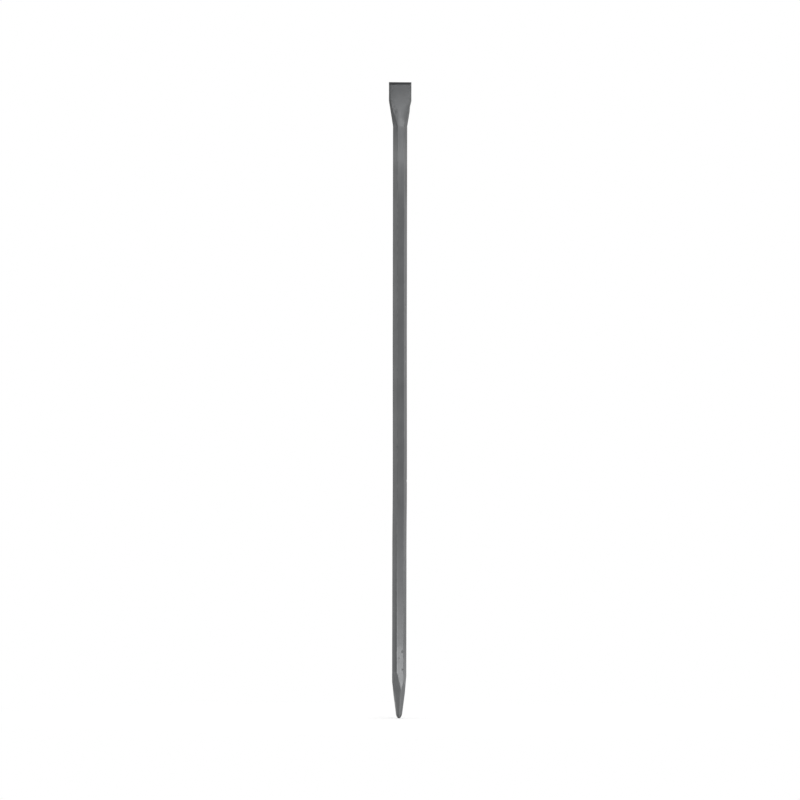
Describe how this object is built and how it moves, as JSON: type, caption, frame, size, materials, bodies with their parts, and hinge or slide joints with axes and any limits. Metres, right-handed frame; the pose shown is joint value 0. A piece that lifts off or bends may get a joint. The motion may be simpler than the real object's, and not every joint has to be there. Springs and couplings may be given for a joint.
{
  "type": "digging bar",
  "caption": "Long steel digging bar: a plain hexagon shank with a flared chisel blade forged at one end and a blunt faceted point at the other.",
  "frame": {"origin": "tip of the point, on the axis of the bar", "axes": "+Z along the bar from the point up to the cutting edge, X across the width of the blade, -Y out of the flat that faces the viewer"},
  "size_m": [0.0538, 0.03, 1.5],
  "materials": {
    "rolled_steel": "satin",
    "forged_steel": "satin"
  },
  "bodies": {
    "root": {"chisel_end": "forged_steel", "hex_shank": "rolled_steel", "point_end": "forged_steel"}
  },
  "joints": []
}
